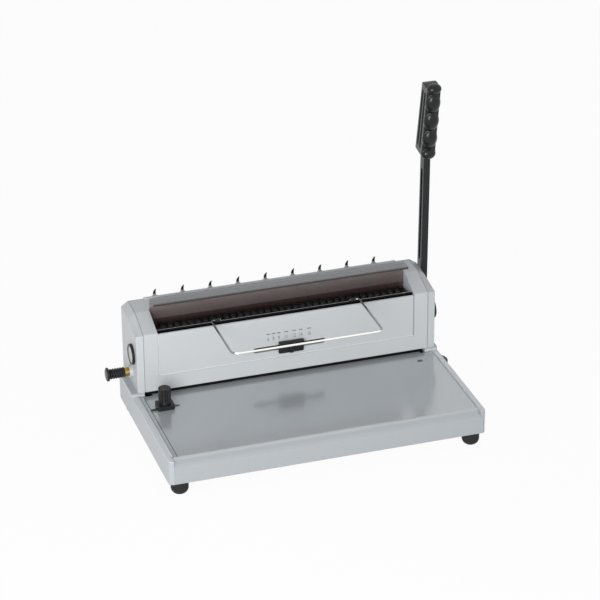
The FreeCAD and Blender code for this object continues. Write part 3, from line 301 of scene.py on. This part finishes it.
finishes = {
    housing_paint: ["left_side_cap", "right_side_cap", "rear_cover", "hook_rail", "top_deck"],
    tower_paint: ["housing_shell"],
    panel_paint: ["front_panel"],
    rail_paint: ["left_side_rail", "right_side_rail"],
    base_paint: ["base_pan", "tray_pull"],
    table_paint: ["table_plate"],
    black_plastic: ["shaft_end_cap", "lever_grip", "adjuster_knob", "size_pointer", "pointer_nut",
                    "edge_guide_block", "guide_knob", "margin_dial", "chip_tray"],
    hook_black: ["wire_hooks"],
    black_enamel: ["bail_clips", "lever_hub", "lever_arm", "channel_deck"],
    comb_black: ["closer_bar", "closer_comb"],
    foot_rubber: ["rubber_feet"],
    plain_steel: ["left_frame_plate", "right_frame_plate", "die_plate", "stripper_plate", "shaft_bushes",
                  "anvil_posts", "guide_rods", "main_shaft", "drive_pinions", "punch_racks", "punch_beam",
                  "punch_pins", "closer_racks", "adjuster_screw", "screw_bracket", "guide_stud",
                  "guard_pins", "dial_pin"],
    bright_chrome: ["lever_bolt"],
    jaw_polish: ["anvil_bar"],
    bail_wire: ["paper_bail"],
    collar_brass: ["brass_collar"],
    smoked_acrylic: ["smoked_guard"],
}
for material, names in finishes.items():
    for name in names:
        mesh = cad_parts[name].data
        mesh.materials.clear()
        mesh.materials.append(material)


def piece(name, work, material, body, smooth=True):
    """Ends a bmesh as a piece that rides on a body."""
    bmesh.ops.recalc_face_normals(work, faces=work.faces)
    for face in work.faces:
        face.smooth = smooth
    mesh = bpy.data.meshes.new(name)
    work.to_mesh(mesh)
    work.free()
    mesh.materials.append(material)
    made = bpy.data.objects.new(name, mesh)
    bpy.context.scene.collection.objects.link(made)
    if smooth:
        mesh.set_sharp_from_angle(angle=math.radians(35))
    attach(made, body)
    return made


def add_text(work, text, width, size, thickness, place):
    """Narrow letters stood up facing the front, added to the mesh."""
    curve = bpy.data.curves.new("scale_text", "FONT")
    curve.body = text
    curve.align_x = "CENTER"
    curve.extrude = thickness / size
    holder = bpy.data.objects.new("scale_text", curve)
    bpy.context.scene.collection.objects.link(holder)
    bpy.context.view_layer.update()
    mesh = bpy.data.meshes.new_from_object(holder.evaluated_get(bpy.context.evaluated_depsgraph_get()))
    stand = Matrix.Translation(place) @ Matrix.Rotation(math.radians(90), 4, "X")
    mesh.transform(stand @ Matrix.Diagonal((width, size, size, 1.0)))
    work.from_mesh(mesh)
    bpy.data.objects.remove(holder)
    bpy.data.curves.remove(curve)
    bpy.data.meshes.remove(mesh)


def add_bar(work, low, high):
    """Block between two corners."""
    middle = (Vector(low) + Vector(high)) / 2
    size = Vector(high) - Vector(low)
    place = Matrix.Translation(middle) @ Matrix.Diagonal((*size, 1.0))
    return bmesh.ops.create_cube(work, size=1.0, matrix=place)["verts"]


def edges_of(verts):
    return {edge for vert in verts for edge in vert.link_edges}


def ease(work, edges, radius, segments=3):
    """Rounds edges off."""
    bmesh.ops.bevel(work, geom=list(edges), offset=radius, segments=segments, affect="EDGES", profile=0.5,
                    material=-1)


def size_scale():
    """Printed figures and marks above the size slot."""
    figure_places = {6: 0.0, 8: 6.4, 9: 13.0, 11: 22.0, 12: 31.6, 14: 39.8, 16: 50.2}
    figure_width = 4.6 * MM
    figure_size = 7.4 * MM
    figure_rise = 10.3 * MM
    figure_depth = 0.03 * MM
    mark_half = 2.2 * MM
    mark_foot = 18.6 * MM
    mark_head = 19.8 * MM
    mark_proud = 0.05 * MM
    hold = 0.02 * MM
    face_y = panel_low.y
    slot_z = (slider_low.z + slider_high.z) / 2 + 2.0 * MM
    left = base_mid_x - 22.0 * MM
    work = bmesh.new()
    for number, place in figure_places.items():
        x = left + place * MM
        add_text(work, str(number), figure_width, figure_size, figure_depth,
                 Vector((x, face_y - hold, slot_z + figure_rise)))
        add_bar(work, (x - mark_half, face_y - mark_proud, slot_z + mark_foot),
                (x + mark_half, face_y + hold, slot_z + mark_head))
    return piece("size_scale", work, scale_ink, "frame", smooth=False)


def slider_ledge():
    """Finger ledge on top of the size slider, with the dark parting line down its middle."""
    inset = 0.4 * MM
    gap = 0.5 * MM
    edge = 0.6 * MM
    middle = (slider_low.x + slider_high.x) / 2
    front = slider_low.y + inset
    back = panel_low.y - inset
    foot = slider_high.z - 0.6 * MM
    crest = slider_high.z + 4.6 * MM
    work = bmesh.new()
    for left, right in ((slider_low.x, middle - gap), (middle + gap, slider_high.x)):
        half = add_bar(work, (left, front, foot), (right, back, crest))
        ease(work, edges_of(half), edge)
    return piece("slider_ledge", work, black_plastic, "pointer")


def table_trim():
    """Ledge along the left side of the table, a pale strip between two dark lines, and a mark at the right; the
    dark lines stand for the step's shadow and the strip's joint with the table, partly painted shade.
    """
    ledge_start, ledge_end, strip_start, strip_end, line_end = 0.05, 2.6, 3.5, 7.4, 8.2
    ledge_rise = 1.9
    strip_rise = 0.18
    line_rise = 0.05
    sunk = 0.1
    mark_low = Vector((3.2, 2.2, sunk))
    mark_high = Vector((3.2, 2.2, 0.06))
    front = table_low.y + 14.0 * MM
    rear = shell_low.y - 1.0 * MM
    top = table_high.z

    def run(work, near, far, rise):
        return add_bar(work, (table_low.x + near * MM, front, top - sunk * MM),
                       (table_low.x + far * MM, rear, top + rise * MM))

    ledge = bmesh.new()
    corners = run(ledge, ledge_start, ledge_end, ledge_rise)
    upper = [edge for edge in edges_of(corners) if min(vert.co.z for vert in edge.verts) > top]
    ease(ledge, upper, 0.5 * MM)
    piece("table_ledge", ledge, rail_paint, "frame")

    strip = bmesh.new()
    run(strip, strip_start, strip_end, strip_rise)
    piece("table_strip", strip, table_paint, "frame", smooth=False)

    # Dark lines: painted shadow of the step beside the ledge, and the strip's joint with the table; then the
    # dark mark at the right.
    lines = bmesh.new()
    run(lines, ledge_end, strip_start, line_rise)
    run(lines, strip_end, line_end, line_rise)
    mark = Vector((table_high.x - 22.5 * MM, rear - 18.0 * MM, top))
    add_bar(lines, mark - mark_low * MM, mark + mark_high * MM)
    piece("table_lines", lines, line_black, "frame", smooth=False)


def throat_liner():
    """Black sheet on the table under the housing, in front of the die: painted shade in the throat."""
    side_gap = 0.6 * MM
    front_gap = 3.5 * MM
    rear_gap = 0.4 * MM
    sunk = 0.1 * MM
    rise = 0.2 * MM
    work = bmesh.new()
    add_bar(work, (rail_high.x + side_gap, shell_low.y + front_gap, table_high.z - sunk),
            (right_low.x - side_gap, table_high.y - rear_gap, table_high.z + rise))
    return piece("throat_liner", work, black_enamel, "frame", smooth=False)


def cross_screws():
    """Four pan-head screws with cross recesses in the rear cover."""
    side_inset = 4.6 * MM
    foot_inset = 10 * MM
    head_inset = 16 * MM
    head_profile = ((0.0, 0.5), (0.7, 1.2), (1.2, 1.62), (2.4, 1.3), (3.1, 0.6), (3.2, -0.2))
    arm_low = Vector((-2.0, -0.35, 0.9)) * MM
    arm_high = Vector((2.0, 0.35, 1.66)) * MM
    arm_angles = (20, 110)
    work = bmesh.new()
    for x in (cover_low.x + side_inset, cover_high.x - side_inset):
        for z in (cover_low.z + foot_inset, cover_high.z - head_inset):
            centre = Vector((x, cover_high.y, z))
            turn = Matrix.Translation(centre) @ Matrix.Rotation(math.radians(-90), 4, "X")
            rim = [work.verts.new(turn @ Vector((radius * MM, 0, height * MM)))
                   for radius, height in head_profile]
            edges = [work.edges.new(pair) for pair in zip(rim, rim[1:])]
            bmesh.ops.spin(work, geom=rim + edges, cent=centre, axis=(0, 1, 0), angle=math.tau, steps=24,
                           use_merge=True)
            for angle in arm_angles:
                arm = add_bar(work, arm_low, arm_high)
                bmesh.ops.transform(work, verts=arm, matrix=turn @ Matrix.Rotation(math.radians(angle), 4, "Z"))
    bmesh.ops.remove_doubles(work, verts=work.verts, dist=0.01 * MM)
    return piece("rear_screws", work, plain_steel, "frame")


def end_disc():
    """Light grey plate in the dish over the shaft's left end."""
    radius = 9.9 * MM
    thickness = 0.7 * MM
    centre = Vector((disc_low.x + 0.75 * MM, (disc_low.y + disc_high.y) / 2, (disc_low.z + disc_high.z) / 2))
    turn = Matrix.Translation(centre) @ Matrix.Rotation(math.radians(90), 4, "Y")
    work = bmesh.new()
    made = bmesh.ops.create_cone(work, cap_ends=True, segments=48, radius1=radius, radius2=radius,
                                 depth=thickness, matrix=turn)
    rim = {edge for edge in edges_of(made["verts"]) if len(edge.link_faces) == 2}
    ease(work, rim, 0.15 * MM, segments=2)
    return piece("end_disc", work, housing_paint, "lever")


def moulded_grip():
    """Grip with rounded finger bulges, in place of the CAD solid."""
    lean = math.radians(-10.6)
    cut_depth = 2.6 * MM
    bulge_depth = 4.0 * MM
    bulge_reach = 7.0 * MM
    # Height along the grip, half length and half width of each bulge, in millimetres.
    bulges = ((3.6, 7.4, 9.2), (24.6, 13.4, 9.4), (48.8, 13.2, 9.4), (73.2, 13.4, 9.3), (92.6, 6.2, 9.0))
    work = bmesh.new()
    work.from_mesh(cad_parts["lever_grip"].data)
    bmesh.ops.remove_doubles(work, verts=work.verts, dist=0.01 * MM)
    lowest = Vector(((grip_low.x + grip_high.x) / 2, grip_low.y + 17.9 * MM, grip_low.z))
    up = Vector((0.0, math.sin(lean), math.cos(lean)))
    back = Vector((0.0, math.cos(lean), -math.sin(lean)))
    cut = bmesh.ops.bisect_plane(work, geom=work.verts[:] + work.edges[:] + work.faces[:],
                                 plane_co=lowest + back * cut_depth, plane_no=-back, clear_outer=True)
    rim = [edge for edge in cut["geom_cut"] if isinstance(edge, bmesh.types.BMEdge)]
    bmesh.ops.holes_fill(work, edges=rim)
    for height, half_length, half_width in bulges:
        centre = lowest + up * height * MM + back * bulge_depth
        size = Matrix.Diagonal((half_width * MM, bulge_reach, half_length * MM, 1.0))
        turn = Matrix.Translation(centre) @ Matrix.Rotation(-lean, 4, "X")
        bmesh.ops.create_uvsphere(work, u_segments=32, v_segments=20, radius=1.0, matrix=turn @ size)
    grip = piece("moulded_grip", work, grip_black, "lever")
    voxels = grip.modifiers.new("skin", "REMESH")
    voxels.mode = "VOXEL"
    voxels.voxel_size = 0.6 * MM
    voxels.use_smooth_shade = True
    soften = grip.modifiers.new("soften", "SMOOTH")
    soften.factor = 0.5
    soften.iterations = 12
    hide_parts("lever_grip")
    return grip


size_scale()
slider_ledge()
table_trim()
throat_liner()
cross_screws()
end_disc()
moulded_grip()


def studio_floor():
    """White floor that shows as white and still takes soft shadows."""
    floor_size = 12.0
    glow_share = 0.95
    work = bmesh.new()
    bmesh.ops.create_grid(work, x_segments=1, y_segments=1, size=floor_size)
    mesh = bpy.data.meshes.new("floor")
    work.to_mesh(mesh)
    work.free()
    finish = Finish("floor_white")
    seen = finish.node("ShaderNodeMath", {"operation": "MINIMUM"}, {0: finish.seen_rays(), 1: 1.0})
    matt = finish.node("ShaderNodeBsdfDiffuse", {}, {"Color": rgb(0.90, 0.90, 0.90)})
    glow = finish.node("ShaderNodeEmission", {}, {"Color": rgb(1, 1, 1), "Strength": 1.0})
    mixed = finish.node("ShaderNodeMixShader", {}, {0: seen * glow_share, 1: matt, 2: glow})
    finish.feed(finish.output.inputs["Surface"], mixed)
    mesh.materials.append(finish.material)
    floor = bpy.data.objects.new("floor", mesh)
    bpy.context.scene.collection.objects.link(floor)


def studio_world():
    """Dim light from all round, which shows as white to the camera and in reflections."""
    world = bpy.data.worlds.new("studio")
    bpy.context.scene.world = world
    world.use_nodes = True
    nodes = Nodes(world.node_tree)
    dim = nodes.node("ShaderNodeBackground", {}, {"Color": rgb(0.93, 0.96, 1.0), "Strength": 0.42})
    white = nodes.node("ShaderNodeBackground", {}, {"Color": rgb(1, 1, 1), "Strength": 1.0})
    choice = nodes.node("ShaderNodeMixShader", {}, {0: nodes.seen_rays(), 1: dim, 2: white})
    end = nodes.tree.nodes.new("ShaderNodeOutputWorld")
    nodes.feed(end.inputs["Surface"], choice)


def studio_lamps():
    """Soft lamps: name, place, size and power of each."""
    target = Vector((0.0, 0.0, 0.08))
    lamps = (("key", (-0.75, -1.25, 0.52), 0.9, 17.0),
             ("fill", (1.5, -1.6, 0.6), 1.4, 1.0),
             ("top", (0.3, 0.6, 2.0), 1.6, 1.5))
    for name, place, size, power in lamps:
        lamp = bpy.data.lights.new(name, "AREA")
        lamp.size = size
        lamp.energy = power
        holder = bpy.data.objects.new(name, lamp)
        holder.location = place
        holder.rotation_euler = (target - Vector(place)).to_track_quat("-Z", "Y").to_euler()
        bpy.context.scene.collection.objects.link(holder)


def studio_camera():
    """Camera at the photograph's angle, placed from the front middle of the base."""
    lens = bpy.data.cameras.new("camera")
    lens.lens = 159.526
    lens.sensor_width = 36.0
    lens.clip_end = 60.0
    camera = bpy.data.objects.new("camera", lens)
    across = Vector((0.9514, -0.3078, -0.0077)).normalized()
    ahead = Vector((0.2722, 0.8524, -0.4466)).normalized()
    upward = across.cross(ahead).normalized()
    across = ahead.cross(upward)
    turn = Matrix((across, upward, -ahead)).transposed().to_4x4()
    offset = Vector((-0.8251, -2.4759, 1.5033))
    stand = Vector((base_mid_x, base_front_y, rail_low.z)) + offset
    camera.matrix_world = Matrix.Translation(stand) @ turn
    bpy.context.scene.collection.objects.link(camera)
    bpy.context.scene.camera = camera


studio_floor()
studio_world()
studio_lamps()
studio_camera()
bpy.context.scene.view_settings.view_transform = "Standard"
